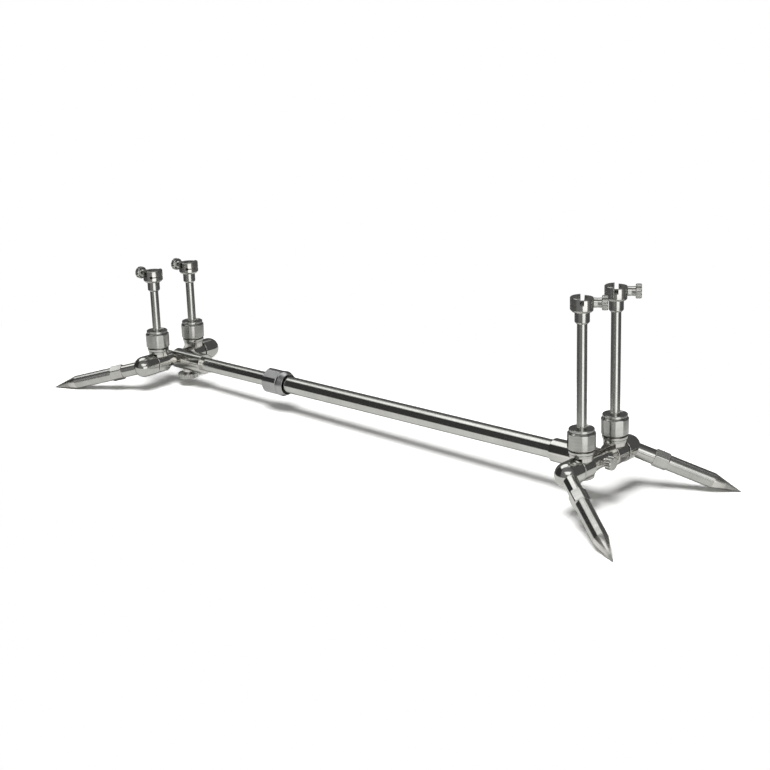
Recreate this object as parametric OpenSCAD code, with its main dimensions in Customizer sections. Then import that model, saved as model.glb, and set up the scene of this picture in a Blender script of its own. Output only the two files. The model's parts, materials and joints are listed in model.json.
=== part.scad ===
// Rod pod: telescopic main bar, two cross bars, four uprights with clamp heads, four spike legs.
// Millimetres, +X front, +Y left, +Z up, ground at z = 0.

/* [Stance] */
// Distance between the two cross bar axes, along the main bar
wheelbase = 650; // [580:5:740]
// Height of the front cross bar axis above the ground
front_axle_h = 45; // [36:0.5:56]
// Height of the rear cross bar axis above the ground
rear_axle_h = 32.5; // [32.5:0.5:52]

/* [Main bar] */
// Outside diameter of the outer tube
outer_tube_d = 20; // [18:0.1:21]
// Wall of both tubes
tube_wall = 1.3; // [1:0.1:1.7]
// Radial gap between the two tubes
slide_gap = 0.35; // [0.3:0.05:0.6]
// Length of the outer tube
outer_tube_len = 454; // [420:1:480]
// Length of the inner tube
inner_tube_len = 430; // [390:1:470]
// Length of the guide bush beyond the inner tube's end
bush_len = 10; // [6:0.5:16]

/* [Main lock collar] */
// Turned outside diameter
collar_d = 31; // [30.4:0.1:34]
// Distance across the six flats
collar_flats = 29.2; // [28.4:0.1:30]
// Length over all
collar_len = 32; // [29:0.5:38]
// Length of the tapered nose
collar_nose_len = 6; // [3:0.5:8]
// Diameter of the open mouth at the nose
collar_mouth_d = 24; // [22.4:0.1:25]
// Depth of the mouth
collar_mouth_depth = 8; // [4:0.5:10]
// Overhang of the collar behind the outer tube's end
collar_overhang = 12; // [10:0.5:14]

/* [Tees] */
// Wall round the outer tube's socket
tee_wall = 2.45; // [1.3:0.05:3]
// Depth of the tube socket
socket_depth = 42; // [36:1:60]
// Distance of the under screw from the cross bar axis
tee_screw_x = 20; // [18:0.5:26]
// Diameter of the under screw's thread
tee_screw_d = 6; // [5:0.5:7]
// Diameter of the screw boss
tee_boss_d = 12.5; // [11:0.5:14]
// Depth of the screw boss face below the bar axis
tee_boss_drop = 14.5; // [13.5:0.1:16]
// Diameter of the under screw's knob
tee_knob_d = 26; // [20:0.5:28]
// Height of the under screw's knob
tee_knob_h = 6; // [4:0.5:7]

/* [Cross bars] */
// Diameter of the cross bars
cross_bar_d = 17; // [16:0.1:18]
// Distance between the two uprights
rod_spacing = 58.5; // [56:0.5:70]
// Width of an upright block along the cross bar
block_w = 18.4; // [15:0.1:19.4]
// Wall of an upright block round the cross bar
block_wall = 4; // [3:0.1:4.5]
// Diameter of the round boss on an upright block
boss_d = 24.4; // [22:0.1:25]
// Diameter of the shelf under the lock nut
shelf_d = 26.4; // [25.4:0.1:27]
// Diameter of the grub screws
grub_d = 5; // [4:0.5:6]
// Diameter of the centre screw's thread
centre_screw_d = 6; // [5:0.5:7]
// Diameter of the centre knob
centre_knob_d = 14; // [12:0.5:18]
// Length of the centre knob
centre_knob_h = 8; // [6:0.5:12]

/* [Lock nuts] */
// Turned outside diameter
nut_d = 29; // [28.4:0.1:31]
// Distance across the six flats
nut_flats = 28; // [26:0.1:28.4]
// Height over all
nut_h = 23; // [21:0.5:23.5]
// Diameter of the top ring
nut_ring_d = 26; // [24:0.1:26.4]
// Height of the top ring
nut_ring_h = 2.6; // [2:0.1:4]
// Height of the nut's top above the cross bar axis
nut_top = 42.5; // [42:0.5:46]
// Diameter of the threaded stub inside the nut
stub_d = 17.6; // [17:0.1:18]

/* [Uprights] */
// Diameter of the uprights
upright_d = 10.2; // [8:0.1:10.4]
// Height of the front heads' lower edge above the cross bar axis
front_head_z = 150; // [90:0.5:300]
// Height of the rear heads' lower edge above the cross bar axis
rear_head_z = 93; // [70:0.5:300]

/* [Heads] */
// Diameter of a head block
head_d = 24; // [22:0.5:27]
// Height of a head block
head_h = 14.7; // [14:0.1:18]
// Diameter of the sleeve under a head block
sleeve_d = 15; // [13:0.5:18]
// Height of the sleeve under a head block
sleeve_h = 12; // [10:0.5:18]
// Width of the slot between the jaws
slot_w = 4; // [2:0.1:5]
// Depth of the slot
slot_depth = 6.9; // [5:0.1:7.5]
// Step of the screw side jaw below the other
jaw_step = 1; // [0.5:0.1:1.2]
// Diameter of the socket for an alarm or rest post
post_d = 9.6; // [8:0.1:10.4]
// Depth of the post socket
post_depth = 11; // [10:0.1:12]
// Drop of the clamp screw axis below the head's top
head_screw_drop = 6; // [5:0.1:6]
// Drop of the pinch slit below the head's top
slit_drop = 7.7; // [7:0.1:8.5]
// Diameter of the clamp screw's thread
head_screw_d = 4.4; // [3.6:0.1:4.6]
// Diameter of the clamp screw's knob
head_knob_d = 15; // [11:0.5:17]
// Length of the clamp screw's knob
head_knob_h = 6; // [4:0.5:8]
// Reach of the clamp screw's end from the head's axis
head_knob_reach = 25; // [22:0.5:30]
// Heading of the front clamp screws, from +X toward +Y
front_yaw = 34; // [-180:1:180]
// Heading of the rear clamp screws, from +X toward +Y
rear_yaw = 182; // [0:1:360]

/* [Legs] */
// Diameter of the knuckles
knuckle_d = 26; // [25:0.1:26.6]
// Distance of the knuckle domes' centres from the middle
dome_y = 53.8; // [51:0.1:64]
// Length from a dome's centre to the spike's point
leg_len = 126.3; // [120:0.1:180]
// Splay of the legs from the bar's direction
leg_splay = 30; // [20:1:40]
// Diameter of the leg neck
neck_d = 16; // [12:0.1:16.4]
// Distance from a dome's centre to the hexagon
hex_start = 29; // [24:0.5:40]
// Distance across the hexagon's flats
hex_flats = 17.4; // [17.2:0.1:19]
// Length of the hexagon
hex_len = 16; // [12:0.5:20]
// Diameter of the spike
spike_d = 16.4; // [14:0.1:16.6]
// Length of the spike's point
point_len = 31.8; // [31.6:0.1:40]

/* [Clearances] */
// Radial clearance of turning and sliding fits
fit_gap = 0.05; // [0.02:0.01:0.1]
// Radial clearance of fixed fits
seat_gap = 0.03; // [0.02:0.01:0.05]
// Clearance where pieces pass without guiding
free_gap = 0.4; // [0.3:0.05:0.6]
// Axial clearance between turning faces
face_gap = 0.1; // [0.05:0.01:0.2]

/* [Hidden] */
$fn = 64;
ENDS = ["front", "rear"];
SIDES = ["left", "right"];
BAR_PIECES = ["outer_tube", "inner_tube", "main_lock_collar", "main_collet", "inner_tube_bush"];
END_PIECES = ["tee", "tee_thumbscrew", "cross_bar", "centre_knob", "knuckle_washers", "grub_screws"];
CORNER_PIECES = ["upright_block", "lock_nut", "collet", "upright", "head", "head_thumbscrew",
    "knuckle", "leg_neck", "spike"];

function dir(e) = e == "front" ? 1 : -1;
function out(e, s) = dir(e) * (s == "left" ? 1 : -1);
function axle_h(e) = e == "front" ? front_axle_h : rear_axle_h;
function head_z(e) = e == "front" ? front_head_z : rear_head_z;
function yaw(e) = e == "front" ? front_yaw : rear_yaw;
function leg_dip(e) = asin(axle_h(e) / (leg_len * cos(leg_splay)));
function leg_plan(e) = leg_len * cos(leg_splay) * cos(leg_dip(e));
function nut_turn(e, s) = e == "front" ? (s == "right" ? 18 : -4) : s == "right" ? 7 : 14;

pitch = asin((front_axle_h - rear_axle_h) / wheelbase);
x_shift = (leg_plan("rear") - leg_plan("front")) / 2;

outer_r = outer_tube_d / 2;
outer_bore = outer_r - tube_wall;
inner_r = outer_bore - slide_gap;
inner_bore = inner_r - tube_wall;
bar_r = cross_bar_d / 2;
tee_r = outer_r + fit_gap + tee_wall;
floor_x = bar_r + 4;
tee_len = floor_x + socket_depth;
outer_front_x = wheelbase / 2 - floor_x - 0.5;
outer_rear_x = outer_front_x - outer_tube_len;
inner_rear_x = -outer_front_x;
inner_front_x = inner_rear_x + inner_tube_len;
collar_rear_x = outer_rear_x - collar_overhang;
block_r = bar_r + block_wall;
boss_r = boss_d / 2;
shelf_r = shelf_d / 2;
boss_foot = block_r - 3;
boss_low = knuckle_d / 2 + 0.3;
block_in = rod_spacing / 2 - block_w / 2;
block_out = rod_spacing / 2 + block_w / 2;
washer_t = 1.2;
knuckle_in = block_out + washer_t + face_gap;
spigot_r = bar_r - 3;
spigot_len = 13.5;
stub_r = stub_d / 2;
nut_bottom = nut_top - nut_h;
stub_top = nut_top - 9.5;
shelf_z = nut_bottom - face_gap;
upright_r = upright_d / 2;
upright_foot = bar_r + seat_gap + 2.4;
collet_h = 6.5;
head_top = sleeve_h + head_h;
screw_z = head_top - head_screw_drop;
slit_z = head_top - slit_drop;
stud_r = 4.5;
neck_seat = sqrt(pow(knuckle_d / 2, 2) - pow(neck_d / 2 + seat_gap, 2)) - 0.2;

// Body turned from a profile of [radius, height] points, standing on Z
module turned(profile) {
    rotate_extrude() polygon(profile);
}

// Turn a body that stands on Z to lie along +X
module along_x() {
    rotate([0, 90, 0]) children();
}

// Turn a body that stands on Z to lie along +Y
module along_y() {
    rotate([-90, 0, 0]) children();
}

// Put the levelled pod on its four points
module stance() {
    translate([x_shift, 0, (front_axle_h + rear_axle_h) / 2])
        rotate([0, -pitch, 0])
            children();
}

// Place a piece at a cross bar, its own +X pointing outward
module at_end(e) {
    stance()
        translate([dir(e) * wheelbase / 2, 0, 0])
            rotate([0, 0, e == "front" ? 0 : 180])
                children();
}

// Place a piece built for the +Y side of a cross bar
module at_corner(e, s) {
    at_end(e)
        if (out(e, s) > 0) {
            children();
        } else {
            mirror([0, 1, 0]) children();
        }
}

// Place a piece on an upright's axis
module at_upright(e, s) {
    stance()
        translate([dir(e) * wheelbase / 2, (s == "left" ? 1 : -1) * rod_spacing / 2, 0])
            children();
}

// Turn +Z to a leg's own direction
module along_leg(e) {
    dip = leg_dip(e) + dir(e) * pitch;
    translate([0, dome_y, 0])
        rotate([0, 0, atan2(sin(leg_splay), cos(leg_splay) * cos(dip))])
            rotate([0, 90 + asin(cos(leg_splay) * sin(dip)), 0])
                children();
}

// Knob with grip flutes, standing on Z
module knob(d, h, flutes, flute_r) {
    difference() {
        turned([[0, 0], [d / 2 - 0.8, 0], [d / 2, 0.8], [d / 2, h - 0.8], [d / 2 - 0.8, h], [0, h]]);
        for (i = [0:flutes - 1])
            rotate([0, 0, i * 360 / flutes])
                translate([d / 2 + flute_r * 0.45, 0, -1])
                    cylinder(r = flute_r, h = h + 2);
    }
}

// Six sided bar with the corners turned to a profile
module hex_turned(flats, profile, h) {
    intersection() {
        cylinder(d = flats / cos(30), h = h, $fn = 6);
        turned(profile);
    }
}

// Main bar

module outer_tube() {
    color([0.78, 0.78, 0.79]) stance()
        translate([outer_rear_x, 0, 0]) along_x()
            difference() {
                cylinder(r = outer_r, h = outer_tube_len);
                translate([0, 0, -1]) cylinder(r = outer_bore, h = outer_tube_len + 2);
            }
}

module inner_tube() {
    color([0.78, 0.78, 0.79]) stance()
        translate([inner_rear_x, 0, 0]) along_x()
            difference() {
                cylinder(r = inner_r, h = inner_tube_len);
                translate([0, 0, -1]) cylinder(r = inner_bore, h = inner_tube_len + 2);
            }
}

module inner_tube_bush() {
    color([0.15, 0.15, 0.15]) stance()
        translate([inner_front_x, 0, 0]) along_x()
            difference() {
                union() {
                    cylinder(r = outer_bore - fit_gap, h = bush_len);
                    translate([0, 0, -12]) cylinder(r = inner_bore - seat_gap, h = 12);
                }
                translate([0, 0, -13]) cylinder(r = inner_bore - 2, h = bush_len + 14);
            }
}

module main_lock_collar() {
    cr = collar_d / 2;
    body = collar_len - collar_nose_len;
    color([0.74, 0.74, 0.75]) stance()
        translate([collar_rear_x, 0, 0]) along_x() rotate([0, 0, 8])
            difference() {
                union() {
                    hex_turned(collar_flats, [[0, 0], [cr - 1.6, 0], [cr, 1.6], [cr, body - 3],
                        [cr - 0.6, body - 2.4], [0, body - 2.4]], collar_len);
                    translate([0, 0, body - 3])
                        turned([[0, 0], [collar_flats / 2 - 0.7, 0], [cr - 0.3, 1.6], [cr - 0.3, 3],
                            [collar_mouth_d / 2 + 0.6, 3 + collar_nose_len], [0, 3 + collar_nose_len]]);
                }
                translate([0, 0, -1]) cylinder(r = inner_r + free_gap, h = collar_len + 2);
                translate([0, 0, 4]) cylinder(r = outer_r + fit_gap, h = collar_len);
                translate([0, 0, collar_len - collar_mouth_depth])
                    cylinder(r = collar_mouth_d / 2, h = collar_mouth_depth + 1);
            }
}

module main_collet() {
    len = collar_overhang - 4 - 2 * face_gap;
    color([0.88, 0.88, 0.84]) stance()
        translate([outer_rear_x - len - 0.02, 0, 0]) along_x()
            difference() {
                cylinder(r = outer_r - free_gap + fit_gap, h = len);
                translate([0, 0, -1]) cylinder(r = inner_r + fit_gap, h = len + 2);
                translate([0, -0.6, -1]) cube([outer_r + 1, 1.2, len + 2]);
            }
}

// Ends

module tee(e) {
    tube_r = e == "front" ? outer_r : inner_r;
    color([0.76, 0.76, 0.77]) at_end(e)
        difference() {
            union() {
                translate([-tee_len, 0, 0]) along_x()
                    turned([[0, 0], [tee_r - 0.5, 0], [tee_r, 0.5], [tee_r, tee_len - 2], [0, tee_len - 2]]);
                translate([-tee_screw_x, 0, -tee_boss_drop]) cylinder(d = tee_boss_d, h = tee_boss_drop - 4);
            }
            translate([-tee_len - 1, 0, 0]) along_x() cylinder(r = tube_r + fit_gap, h = socket_depth + 1);
            translate([0, -30, 0]) along_y() cylinder(r = bar_r + seat_gap, h = 60);
            translate([-floor_x - 1, 0, 0]) along_x() cylinder(r = centre_screw_d / 2 + fit_gap, h = floor_x);
            translate([-tee_screw_x, 0, -tee_boss_drop - 1])
                cylinder(r = tee_screw_d / 2 + fit_gap, h = tee_boss_drop);
        }
}

module tee_thumbscrew(e) {
    tube_r = e == "front" ? outer_r : inner_r;
    neck = 1.8;
    color([0.72, 0.72, 0.73]) at_end(e)
        translate([-tee_screw_x, 0, 0]) {
            translate([0, 0, -tee_boss_drop - face_gap - neck])
                cylinder(r = tee_screw_d / 2 + 2, h = neck);
            translate([0, 0, -tee_boss_drop - face_gap - neck])
                cylinder(r = tee_screw_d / 2, h = tee_boss_drop + face_gap + neck - tube_r - 0.3);
            translate([0, 0, -tee_boss_drop - face_gap - neck - tee_knob_h])
                knob(tee_knob_d, tee_knob_h, 16, 1.8);
        }
}

module cross_bar(e) {
    color([0.75, 0.75, 0.76]) at_end(e)
        difference() {
            translate([0, -block_out, 0]) along_y() cylinder(r = bar_r, h = 2 * block_out);
            for (m = [-1, 1]) {
                translate([0, m > 0 ? block_out - spigot_len - 0.5 : -block_out - 1, 0]) along_y()
                    cylinder(r = spigot_r + fit_gap, h = spigot_len + 1.5);
                translate([0, m * rod_spacing / 2, -bar_r - 1])
                    cylinder(r = grub_d / 2 + seat_gap, h = bar_r);
            }
            translate([-bar_r - 1, 0, 0]) along_x()
                cylinder(r = centre_screw_d / 2 + free_gap, h = cross_bar_d + 2);
        }
}

module centre_knob(e) {
    start = bar_r + face_gap;
    color([0.7, 0.7, 0.71]) at_end(e) {
        translate([-floor_x + 0.4, 0, 0]) along_x()
            cylinder(r = centre_screw_d / 2, h = start + floor_x - 0.4);
        translate([start, 0, 0]) along_x() cylinder(r = centre_screw_d / 2 + 2, h = 2.5);
        translate([start + 2.4, 0, 0]) along_x() knob(centre_knob_d, centre_knob_h, 12, 1.2);
    }
}

module knuckle_washers(e) {
    color([0.2, 0.2, 0.2]) at_end(e)
        for (m = [-1, 1])
            translate([0, m > 0 ? block_out : -block_out - washer_t, 0]) along_y()
                difference() {
                    cylinder(r = block_r - 1.8, h = washer_t);
                    translate([0, 0, -1]) cylinder(r = spigot_r + free_gap, h = washer_t + 2);
                }
}

module grub_screws(e) {
    color([0.3, 0.3, 0.31]) at_end(e)
        for (m = [-1, 1])
            translate([0, m * rod_spacing / 2, -block_r + 0.4])
                difference() {
                    cylinder(d = grub_d, h = block_r - 0.4 - spigot_r - fit_gap - face_gap);
                    translate([0, 0, -1]) cylinder(d = 2.9, h = 3, $fn = 6);
                }
}

// Corners

module upright_block(e, s) {
    color([0.75, 0.75, 0.76]) at_upright(e, s)
        difference() {
            union() {
                translate([0, -block_w / 2, 0]) along_y()
                    turned([[0, 0], [block_r - 0.9, 0], [block_r, 0.9], [block_r, block_w - 0.9],
                        [block_r - 0.9, block_w], [0, block_w]]);
                cylinder(r = stub_r, h = stub_top);
                intersection() {
                    translate([0, 0, boss_foot]) cylinder(r = boss_r - 0.4, h = boss_low - boss_foot + 0.5);
                    translate([-boss_r, -block_w / 2, 0]) cube([boss_d, block_w, shelf_z]);
                }
                turned([[0, boss_low], [boss_r, boss_low], [boss_r, shelf_z - 3.4],
                    [boss_r - 0.9, shelf_z - 3.4], [boss_r - 0.9, shelf_z - 2.7], [shelf_r, shelf_z - 2.7],
                    [shelf_r, shelf_z - 0.3], [shelf_r - 0.3, shelf_z], [0, shelf_z]]);
            }
            translate([0, -block_w, 0]) along_y() cylinder(r = bar_r + seat_gap, h = 2 * block_w);
            translate([0, 0, upright_foot - 0.4]) cylinder(r = upright_r + fit_gap, h = stub_top);
            translate([0, 0, -block_r - 1]) cylinder(r = grub_d / 2 + seat_gap, h = block_r);
        }
}

module lock_nut(e, s) {
    nr = nut_d / 2;
    ring_r = nut_ring_d / 2;
    body = nut_h - nut_ring_h - 2.2;
    inner_top = nut_h - 9.5 + 0.5;
    color([0.77, 0.77, 0.78]) at_upright(e, s)
        translate([0, 0, nut_bottom]) rotate([0, 0, nut_turn(e, s)])
            difference() {
                union() {
                    hex_turned(nut_flats, [[0, 0], [nr - 2.6, 0], [nr, 2.6], [nr, body],
                        [nr - 1.7, body + 1.7], [0, body + 1.7]], nut_h);
                    turned([[0, body + 0.5], [ring_r - 0.7, body + 0.5], [ring_r - 0.7, body + 1.9],
                        [ring_r, body + 2.2], [ring_r, nut_h - 0.4], [ring_r - 0.4, nut_h],
                        [ring_r - 1.4, nut_h], [ring_r - 2, nut_h - 0.6], [0, nut_h - 0.6]]);
                }
                translate([0, 0, -1]) cylinder(r = stub_r + fit_gap, h = inner_top + 1);
                translate([0, 0, inner_top - 0.01])
                    cylinder(r1 = stub_r + fit_gap, r2 = upright_r + 2.2, h = collet_h + 0.3);
                translate([0, 0, -1]) cylinder(r = upright_r + free_gap, h = nut_h + 2);
            }
}

module collet(e, s) {
    color([0.88, 0.88, 0.84]) at_upright(e, s)
        translate([0, 0, stub_top + 0.02])
            difference() {
                cylinder(r1 = stub_r - 0.6, r2 = upright_r + 1.6, h = collet_h - 0.2);
                translate([0, 0, -1]) cylinder(r = upright_r + fit_gap, h = collet_h + 2);
                translate([0, -0.6, -1]) cube([stub_r + 1, 1.2, collet_h + 2]);
            }
}

module upright(e, s) {
    top = head_z(e) + sleeve_h + 0.8;
    color([0.79, 0.79, 0.8]) at_upright(e, s)
        translate([0, 0, upright_foot])
            turned([[0, 0], [upright_r - 0.6, 0], [upright_r, 0.6], [upright_r, top - upright_foot - 0.6],
                [upright_r - 0.6, top - upright_foot], [0, top - upright_foot]]);
}

module head(e, s) {
    hr = head_d / 2;
    sr = sleeve_d / 2;
    floor_z = head_top - slot_depth;
    low = head_top - jaw_step;
    hole_x = -post_d / 2 - 2.4;
    color([0.74, 0.74, 0.75]) at_upright(e, s)
        translate([0, 0, head_z(e)]) rotate([0, 0, yaw(e)])
            difference() {
                union() {
                    turned([[0, 0], [sr - 1.6, 0], [sr, 1.8], [sr, sleeve_h - 0.3], [sr - 0.4, sleeve_h],
                        [hr - 2.2, sleeve_h], [hr, sleeve_h + 2.4], [hr, floor_z], [0, floor_z]]);
                    difference() {
                        translate([0, 0, floor_z - 1])
                            turned([[0, 0], [hr, 0], [hr, slot_depth + 0.4], [hr - 0.6, slot_depth + 1],
                                [0, slot_depth + 1]]);
                        translate([-slot_w / 2, -hr - 1, floor_z - 2])
                            cube([hr + 10, 2 * hr + 2, slot_depth + 4]);
                    }
                    difference() {
                        translate([0, 0, floor_z - 1])
                            turned([[0, 0], [hr, 0], [hr, low - floor_z], [hr - 1, low - floor_z + 1],
                                [0, low - floor_z + 1]]);
                        translate([-hr - 10, -hr - 1, floor_z - 2])
                            cube([hr + 10 + slot_w / 2, 2 * hr + 2, slot_depth + 4]);
                    }
                }
                translate([0, 0, -1]) cylinder(r = upright_r + fit_gap, h = sleeve_h + 2);
                translate([0, 0, head_top - post_depth]) cylinder(r = post_d / 2, h = post_depth + 1);
                translate([0, 0, screw_z]) along_x() cylinder(r = head_screw_d / 2 + fit_gap, h = hr + 1);
                translate([hr - 1.2, -hr, screw_z - hr]) cube([hr, 2 * hr, 3 * hr]);
                translate([hole_x, -hr - 1, slit_z]) along_y() cylinder(r = 1.7, h = 2 * hr + 2);
                translate([-hr - 1, -hr - 1, slit_z - 0.6]) cube([hr + 1 + hole_x, 2 * hr + 2, 1.2]);
            }
}

module head_thumbscrew(e, s) {
    tip = post_d / 2 + 0.35;
    flat = head_d / 2 - 1.2 + face_gap;
    knob_x = head_knob_reach - head_knob_h;
    stem_r = head_screw_d / 2 + 2.8;
    color([0.72, 0.72, 0.73]) at_upright(e, s)
        translate([0, 0, head_z(e)]) rotate([0, 0, yaw(e)]) translate([0, 0, screw_z]) {
            translate([tip, 0, 0]) along_x() cylinder(r = head_screw_d / 2, h = flat - tip + 1);
            translate([flat, 0, 0]) along_x()
                turned([[0, 0], [stem_r - 0.4, 0], [stem_r, 0.4], [stem_r - 0.3, (knob_x - flat) / 2],
                    [stem_r, knob_x - flat + 0.5], [0, knob_x - flat + 0.5]]);
            translate([knob_x, 0, 0]) along_x() knob(head_knob_d, head_knob_h, 12, 1.2);
        }
}

module knuckle(e, s) {
    kr = knuckle_d / 2;
    color([0.77, 0.77, 0.78]) at_corner(e, s)
        difference() {
            union() {
                translate([0, dome_y, 0]) sphere(r = kr);
                translate([0, knuckle_in, 0]) along_y()
                    turned([[0, 0], [kr - 0.9, 0], [kr, 0.9], [kr, dome_y - knuckle_in],
                        [0, dome_y - knuckle_in]]);
                translate([0, block_out - spigot_len, 0]) along_y()
                    cylinder(r = spigot_r, h = spigot_len + washer_t + 2);
            }
            along_leg(e) translate([0, 0, 3]) cylinder(r = stud_r + seat_gap, h = 20);
            along_leg(e) translate([0, 0, neck_seat]) cylinder(r = neck_d / 2 + seat_gap, h = 20);
            translate([-kr - 1, knuckle_in - 10, -kr - 1])
                difference() {
                    cube([2 * kr + 2, 10, 2 * kr + 2]);
                    translate([kr + 1, -1, kr + 1]) along_y() cylinder(r = spigot_r, h = 12);
                }
        }
}

module leg_neck(e, s) {
    color([0.76, 0.76, 0.77]) at_corner(e, s) along_leg(e) {
        translate([0, 0, 3.2]) cylinder(r = stud_r, h = hex_start + hex_len - 2 - 3.2);
        translate([0, 0, neck_seat]) cylinder(d = neck_d, h = hex_start - neck_seat);
    }
}

module spike(e, s) {
    sr = spike_d / 2;
    cr = hex_flats / 2 / cos(30);
    hex_end = hex_start + hex_len;
    color([0.75, 0.75, 0.76]) at_corner(e, s) along_leg(e)
        difference() {
            union() {
                translate([0, 0, hex_start])
                    hex_turned(hex_flats, [[0, 0], [cr - 1, 0], [cr - 0.3, 0.7], [cr - 0.3, hex_len - 1.5],
                        [sr - 0.3, hex_len], [0, hex_len]], hex_len);
                translate([0, 0, hex_end - 1])
                    turned([[0, 0], [sr, 0], [sr, leg_len - point_len - hex_end + 1],
                        [0, leg_len - hex_end + 1]]);
            }
            translate([0, 0, hex_start - 1]) cylinder(r = stud_r + seat_gap, h = hex_len);
        }
}

// Nodes

outer_tube();
inner_tube();
main_lock_collar();
main_collet();
inner_tube_bush();

for (e = ENDS) {
    tee(e);
    tee_thumbscrew(e);
    cross_bar(e);
    centre_knob(e);
    knuckle_washers(e);
    grub_screws(e);
}

for (e = ENDS) for (s = SIDES) {
    upright_block(e, s);
    lock_nut(e, s);
    collet(e, s);
    upright(e, s);
    head(e, s);
    head_thumbscrew(e, s);
    knuckle(e, s);
    leg_neck(e, s);
    spike(e, s);
}
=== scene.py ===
"""Rod pod in stainless steel: sliding main bar, cross bars, uprights with clamp heads, spike legs."""

import json
import math

import bpy
from mathutils import Matrix, Vector

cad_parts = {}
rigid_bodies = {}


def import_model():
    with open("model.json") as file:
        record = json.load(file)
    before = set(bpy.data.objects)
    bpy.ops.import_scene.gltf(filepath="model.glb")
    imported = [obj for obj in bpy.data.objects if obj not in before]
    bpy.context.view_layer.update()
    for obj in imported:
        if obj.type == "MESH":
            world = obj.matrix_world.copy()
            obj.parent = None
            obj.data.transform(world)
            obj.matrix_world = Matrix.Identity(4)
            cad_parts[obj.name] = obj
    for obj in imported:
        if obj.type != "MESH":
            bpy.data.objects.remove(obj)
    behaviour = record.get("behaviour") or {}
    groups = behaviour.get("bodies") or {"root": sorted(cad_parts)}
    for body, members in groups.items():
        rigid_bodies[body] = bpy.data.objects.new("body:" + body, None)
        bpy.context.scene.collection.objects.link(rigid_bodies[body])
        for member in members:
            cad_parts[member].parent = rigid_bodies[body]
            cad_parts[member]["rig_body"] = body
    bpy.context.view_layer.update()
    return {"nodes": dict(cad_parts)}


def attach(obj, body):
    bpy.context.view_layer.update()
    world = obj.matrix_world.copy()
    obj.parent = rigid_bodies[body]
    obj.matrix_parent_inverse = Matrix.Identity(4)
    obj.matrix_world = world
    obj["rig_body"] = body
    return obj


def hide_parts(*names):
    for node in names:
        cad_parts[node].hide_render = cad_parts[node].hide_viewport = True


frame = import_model()

MM = 0.001
ENDS = ("front", "rear")
SIDES = ("left", "right")

# Sizes of the pieces in millimetres, as in the part's source
WHEELBASE = 650
AXLE_H = {"front": 45, "rear": 32.5}
OUTER_R = 10
INNER_R = 8.35
TUBE_WALL = 1.3
OUTER_FRONT_X = 312
OUTER_LEN = 454
INNER_LEN = 430
COLLAR_R = 15.5
COLLAR_FLATS = 29.2
COLLAR_LEN = 32
COLLAR_NOSE = 6
COLLAR_MOUTH_R = 12
COLLAR_MOUTH_DEPTH = 8
COLLAR_OVERHANG = 12
COLLAR_TURN = 8
TEE_R = 12.5
TEE_LEN = 54.5
TEE_SOCKET = 42
TEE_SCREW_X = 20
TEE_SCREW_R = 3
TEE_BOSS_R = 6.25
TEE_BOSS_DROP = 14.5
TEE_KNOB_R = 13
TEE_KNOB_H = 6
BAR_R = 8.5
ROD_SPACING = 58.5
BLOCK_W = 18.4
BLOCK_R = 12.5
BLOCK_OUT = ROD_SPACING / 2 + BLOCK_W / 2
BOSS_R = 12.2
BOSS_FOOT = BLOCK_R - 3
SHELF_R = 13.2
SPIGOT_R = 5.5
SPIGOT_LEN = 13.5
WASHER_T = 1.2
CENTRE_SCREW_R = 3
CENTRE_KNOB_R = 7
CENTRE_KNOB_H = 8
CENTRE_FLOOR_X = 12.5
NUT_R = 14.5
NUT_FLATS = 28
NUT_H = 23
NUT_RING_R = 13
NUT_RING_H = 2.6
NUT_TOP = 42.5
NUT_BOTTOM = NUT_TOP - NUT_H
NUT_TURN = {("front", "left"): -4, ("front", "right"): 18, ("rear", "left"): 14, ("rear", "right"): 7}
STUB_R = 8.8
STUB_TOP = NUT_TOP - 9.5
UPRIGHT_R = 5.1
UPRIGHT_FOOT = 10.93
HEAD_Z = {"front": 150, "rear": 93}
HEAD_YAW = {"front": 34, "rear": 182}
HEAD_R = 12
HEAD_H = 14.7
SLEEVE_R = 7.5
SLEEVE_H = 12
HEAD_TOP = SLEEVE_H + HEAD_H
SLOT_W = 4
SLOT_DEPTH = 6.9
JAW_STEP = 1
POST_R = 4.8
POST_DEPTH = 11
HEAD_SCREW_Z = HEAD_TOP - 6
SLIT_Z = HEAD_TOP - 7.7
HEAD_SCREW_R = 2.2
HEAD_STEM_R = 5
HEAD_KNOB_R = 7.5
HEAD_KNOB_H = 6
HEAD_KNOB_REACH = 25
KNUCKLE_R = 13
KNUCKLE_IN = BLOCK_OUT + WASHER_T + 0.1
DOME_Y = 53.8
LEG_LEN = 126.3
LEG_SPLAY = 30
NECK_R = 8
STUD_R = 4.5
HEX_START = 29
HEX_FLATS = 17.4
HEX_LEN = 16
SPIKE_R = 8.2
POINT_LEN = 31.8
FIT = 0.05
SEAT = 0.03
FACE = 0.1
NECK_SEAT = math.sqrt(KNUCKLE_R ** 2 - (NECK_R + SEAT) ** 2) - 0.2
KNOB_BEVEL = 0.8
KNOB_FOOT = 2
HEAD_FLAT = 1.2
GRUB_R = 2.53
PIN_R = 1.7
PIN_WALL = 2.4
SLIT_HALF = 0.6
HEX_SEGMENTS = 192

# Sizes of the marks in the steel, in millimetres
SMUDGE_MM = 30
PIT_MM = 1.2


def turn(angle, axis):
    return Matrix.Rotation(math.radians(angle), 4, axis)


def shift(x, y, z):
    return Matrix.Translation((x * MM, y * MM, z * MM))


ALONG_X = turn(90, "Y")
ALONG_Y = turn(-90, "X")
splay_reach = LEG_LEN * math.cos(math.radians(LEG_SPLAY))
leg_dip = {end: math.asin(AXLE_H[end] / splay_reach) for end in ENDS}
leg_plan = {end: splay_reach * math.cos(leg_dip[end]) for end in ENDS}
pitch = math.degrees(math.asin((AXLE_H["front"] - AXLE_H["rear"]) / WHEELBASE))
stance = shift((leg_plan["rear"] - leg_plan["front"]) / 2, 0, sum(AXLE_H.values()) / 2) @ turn(-pitch, "Y")


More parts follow.
